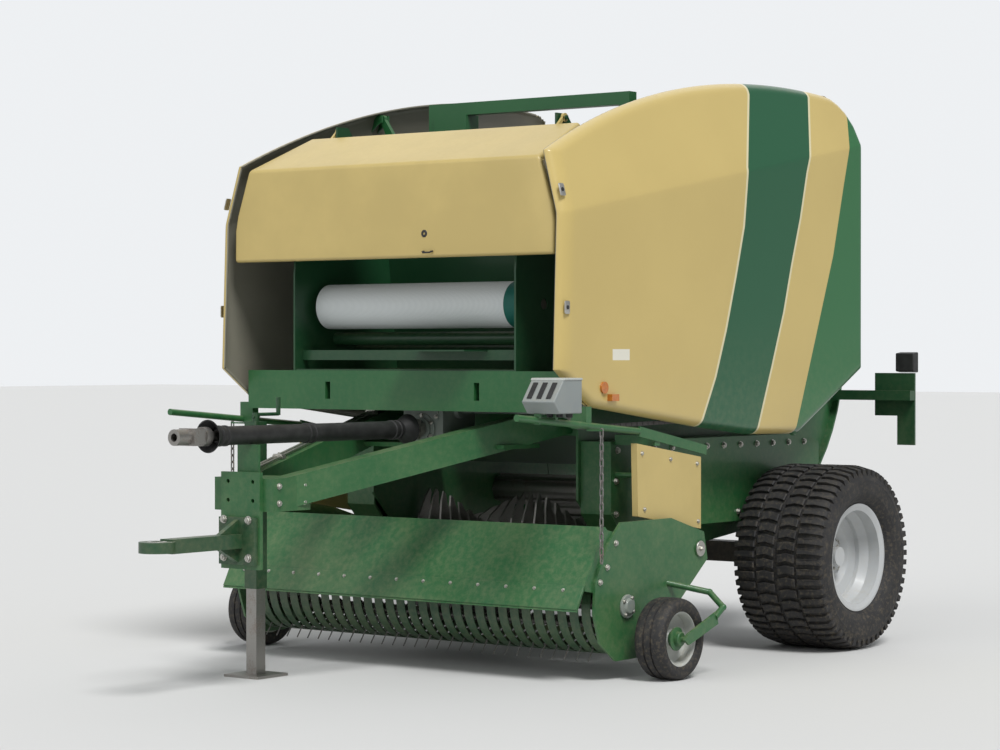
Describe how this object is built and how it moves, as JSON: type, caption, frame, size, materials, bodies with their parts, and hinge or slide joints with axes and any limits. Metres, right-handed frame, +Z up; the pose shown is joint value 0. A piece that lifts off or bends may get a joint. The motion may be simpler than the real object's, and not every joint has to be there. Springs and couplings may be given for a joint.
{
  "type": "round baler",
  "caption": "Towed round baler with a slat chamber, hinged tailgate and side hoods, tined pick-up, net wrap box, drawbar with jack, and drive shaft.",
  "frame": {"origin": "on the floor, under the middle of the machine's box", "axes": "+X forward, the way it is towed; +Y to its left; +Z up"},
  "size_m": [4.5449, 2.6148, 2.7349],
  "materials": {
    "green_paint": "semi-gloss",
    "dark_green_paint": "semi-gloss",
    "beige_paint": "semi-gloss",
    "beige_shell": "gloss",
    "worked_steel": "satin",
    "rod_chrome": "polished",
    "black_paint": "satin",
    "grey_paint": "satin",
    "cast_housing": "rough",
    "net_wrap": "matt",
    "amber_lens": "gloss",
    "red_lens": "gloss",
    "guard_plastic": "matt",
    "tyre_rubber": "matt",
    "rim_paint": "semi-gloss"
  },
  "bodies": {
    "chassis": {"chamber_walls": "green_paint", "chamber_cover": "dark_green_paint", "chamber_rollers": "worked_steel", "front_slat_apron": "worked_steel", "front_apron_chains": "worked_steel", "drive_sprockets": "worked_steel", "drive_chain": "worked_steel", "main_frame": "green_paint", "side_frames": "green_paint", "axle_beam": "black_paint", "lower_panels": "beige_paint", "side_rails": "green_paint", "control_box": "grey_paint", "guard_chains": "worked_steel", "net_box": "dark_green_paint", "hood_hinge_arms": "green_paint", "drawbar": "green_paint", "hitch_eye": "dark_green_paint", "jack_tube": "dark_green_paint", "gearbox": "cast_housing", "pto_guard": "guard_plastic", "feed_floor": "dark_green_paint"},
    "wheel_left": {"tyre_left": "tyre_rubber", "rim_left": "rim_paint"},
    "wheel_right": {"tyre_right": "tyre_rubber", "rim_right": "rim_paint"},
    "pickup": {"pickup_frame": "green_paint", "stripper_bands": "dark_green_paint", "crop_guard": "green_paint"},
    "tine_reel": {"tine_reel": "worked_steel"},
    "gauge_wheel_left": {"gauge_wheel_left": "tyre_rubber"},
    "gauge_wheel_right": {"gauge_wheel_right": "tyre_rubber"},
    "feed_rotor": {"feed_rotor": "worked_steel"},
    "net_roll": {"net_roll": "net_wrap"},
    "net_hood": {"net_hood": "beige_shell"},
    "side_hood_left": {"side_hood_left": "beige_shell", "hood_brackets_left": "green_paint", "hood_markers_left": "amber_lens"},
    "side_hood_right": {"side_hood_right": "beige_shell", "hood_brackets_right": "green_paint", "hood_markers_right": "amber_lens"},
    "tailgate": {"tailgate_frame": "green_paint", "tailgate_cover": "beige_paint", "rear_slat_apron": "worked_steel", "rear_apron_chains": "worked_steel", "rear_light_brackets": "dark_green_paint", "rear_lamps": "red_lens"},
    "cylinder_left": {"cylinder_left": "black_paint"},
    "cylinder_right": {"cylinder_right": "black_paint"},
    "rod_left": {"rod_left": "rod_chrome"},
    "rod_right": {"rod_right": "rod_chrome"},
    "jack_leg": {"jack_leg": "worked_steel"},
    "pto_shaft": {"pto_shaft": "worked_steel"}
  },
  "joints": [
    {"name": "wheel_left_spin", "type": "hinge", "parent": "chassis", "child": "wheel_left", "pos_m": [-1.3225, 1.06, 0.445], "axis": [0, 1, 0], "continuous": true},
    {"name": "wheel_right_spin", "type": "hinge", "parent": "chassis", "child": "wheel_right", "pos_m": [-1.3225, -1.06, 0.445], "axis": [0, 1, 0], "continuous": true},
    {"name": "pickup_lift", "type": "hinge", "parent": "chassis", "child": "pickup", "pos_m": [-0.2525, 0, 0.54], "axis": [0, -1, 0], "range_deg": [0, 22]},
    {"name": "tine_reel_spin", "type": "hinge", "parent": "pickup", "child": "tine_reel", "pos_m": [0.3375, 0, 0.32], "axis": [0, 1, 0], "continuous": true},
    {"name": "gauge_wheel_left_spin", "type": "hinge", "parent": "pickup", "child": "gauge_wheel_left", "pos_m": [0.2335, 1.2, 0.18], "axis": [0, 1, 0], "continuous": true},
    {"name": "gauge_wheel_right_spin", "type": "hinge", "parent": "pickup", "child": "gauge_wheel_right", "pos_m": [0.2335, -1.2, 0.18], "axis": [0, 1, 0], "continuous": true},
    {"name": "feed_rotor_spin", "type": "hinge", "parent": "chassis", "child": "feed_rotor", "pos_m": [-0.2525, 0, 0.54], "axis": [0, 1, 0], "continuous": true},
    {"name": "net_roll_spin", "type": "hinge", "parent": "chassis", "child": "net_roll", "pos_m": [0.4125, 0, 1.65], "axis": [0, 1, 0], "continuous": true},
    {"name": "net_hood_lift", "type": "hinge", "parent": "chassis", "child": "net_hood", "pos_m": [0.2775, 0, 2.49], "axis": [0, -1, 0], "range_deg": [0, 65]},
    {"name": "side_hood_left_lift", "type": "hinge", "parent": "chassis", "child": "side_hood_left", "pos_m": [-0.5725, 0.845, 2.6], "axis": [1, 0, 0], "range_deg": [0, 65]},
    {"name": "side_hood_right_lift", "type": "hinge", "parent": "chassis", "child": "side_hood_right", "pos_m": [-0.5725, -0.845, 2.6], "axis": [-1, 0, 0], "range_deg": [0, 65]},
    {"name": "tailgate_lift", "type": "hinge", "parent": "chassis", "child": "tailgate", "pos_m": [-1.1325, 0, 2.33], "axis": [0, 1, 0], "range_deg": [0, 58]},
    {"name": "cylinder_left_swing", "type": "hinge", "parent": "chassis", "child": "cylinder_left", "pos_m": [-0.8925, 0.685, 1.15], "axis": [0, 1, 0], "range_deg": [0, 11.2]},
    {"name": "cylinder_right_swing", "type": "hinge", "parent": "chassis", "child": "cylinder_right", "pos_m": [-0.8925, -0.685, 1.15], "axis": [0, 1, 0], "range_deg": [0, 11.2]},
    {"name": "rod_left_slide", "type": "slide", "parent": "cylinder_left", "child": "rod_left", "axis": [-0.6402, 0, 0.7682], "range_m": [0, 0.5]},
    {"name": "rod_right_slide", "type": "slide", "parent": "cylinder_right", "child": "rod_right", "axis": [-0.6402, 0, 0.7682], "range_m": [0, 0.5]},
    {"name": "jack_leg_slide", "type": "slide", "parent": "chassis", "child": "jack_leg", "axis": [0, 0, 1], "range_m": [-0.2, 0]},
    {"name": "drive_shaft_spin", "type": "hinge", "parent": "chassis", "child": "pto_shaft", "pos_m": [0.4495, 0, 1.085], "axis": [1, 0, 0], "continuous": true}
  ],
  "couplings": [
    {"joint": "cylinder_left_swing", "follows": "tailgate_lift", "ratio": 0.18541},
    {"joint": "cylinder_right_swing", "follows": "tailgate_lift", "ratio": 0.18541},
    {"joint": "rod_left_slide", "follows": "tailgate_lift", "m_per_rad": 0.49052},
    {"joint": "rod_right_slide", "follows": "tailgate_lift", "m_per_rad": 0.49052}
  ]
}
